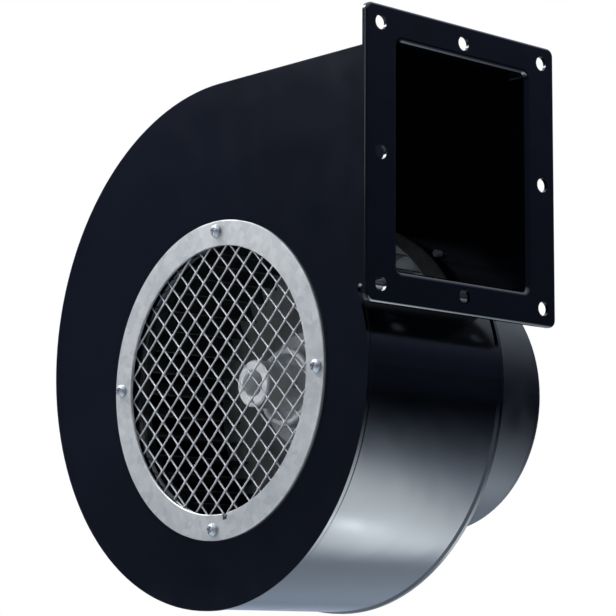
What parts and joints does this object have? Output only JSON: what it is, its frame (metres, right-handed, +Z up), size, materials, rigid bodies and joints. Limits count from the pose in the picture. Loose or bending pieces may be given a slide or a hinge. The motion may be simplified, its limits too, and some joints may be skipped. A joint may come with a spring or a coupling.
{
  "type": "centrifugal blower",
  "caption": "Single-inlet scroll blower with a forward-curved impeller on a brushed DC motor, a wire inlet guard and a flanged rectangular outlet.",
  "frame": {"origin": "centre of the outlet flange's face, which is the centre of its four corner holes", "axes": "+X out of the outlet, +Y from the inlet side to the motor side along the shaft, +Z up"},
  "size_m": [0.2975, 0.2126, 0.3173],
  "materials": {
    "black_coat": "semi-gloss black powder coat on steel sheet",
    "galvanised_sheet": "galvanised steel sheet with faint spangle",
    "zinc_wire": "zinc-plated welded wire",
    "zinc_fastener": "bright zinc plating",
    "black_rubber": "moulded rubber, matt",
    "motor_steel": "drawn steel tube, oiled",
    "cast_aluminium": "die-cast, as cast",
    "turned_aluminium": "turned, fine tool marks",
    "ferrite": "sintered ferrite, matt",
    "card_board": "phenolic board",
    "brass_sheet": "bright brass sheet",
    "carbon": "pressed carbon, matt",
    "bearing_steel": "ground steel",
    "lamination": "stacked iron sheet",
    "copper_wire": "enamelled copper wire",
    "copper_bar": "turned copper bars"
  },
  "bodies": {
    "housing": {"front_plate": "black_coat", "scroll_wrap": "black_coat", "back_plate": "black_coat", "outlet_flange": "black_coat", "inlet_nozzle": "black_coat", "inlet_ring": "galvanised_sheet", "mesh_guard": "zinc_wire", "ring_screws": "zinc_fastener", "motor_plate": "galvanised_sheet", "motor_plate_screws": "zinc_fastener", "motor_cover": "black_coat", "cover_posts": "zinc_fastener", "cover_screws": "zinc_fastener", "cable_grommet": "black_rubber", "motor_can": "motor_steel", "front_end_cap": "cast_aluminium", "rear_end_cap": "cast_aluminium", "motor_screws": "zinc_fastener", "tie_bolts": "zinc_fastener", "field_magnets": "ferrite", "brush_card": "card_board", "brush_holders": "brass_sheet", "brushes": "carbon", "brush_springs": "zinc_fastener", "front_bearing_outer": "bearing_steel", "rear_bearing_outer": "bearing_steel"},
    "rotor": {"motor_shaft": "bearing_steel", "front_bearing_inner": "bearing_steel", "rear_bearing_inner": "bearing_steel", "bearing_balls": "bearing_steel", "armature_core": "lamination", "armature_windings": "copper_wire", "commutator": "copper_bar", "impeller_hub": "turned_aluminium", "hub_grub_screws": "zinc_fastener", "hub_rivets": "zinc_fastener", "impeller_disc": "galvanised_sheet", "impeller_blades": "galvanised_sheet", "impeller_front_ring": "galvanised_sheet"}
  },
  "joints": [
    {"name": "impeller_spin", "type": "hinge", "parent": "housing", "child": "rotor", "pos_m": [-0.144, 0, -0.10725], "axis": [0, 1, 0], "continuous": true}
  ]
}
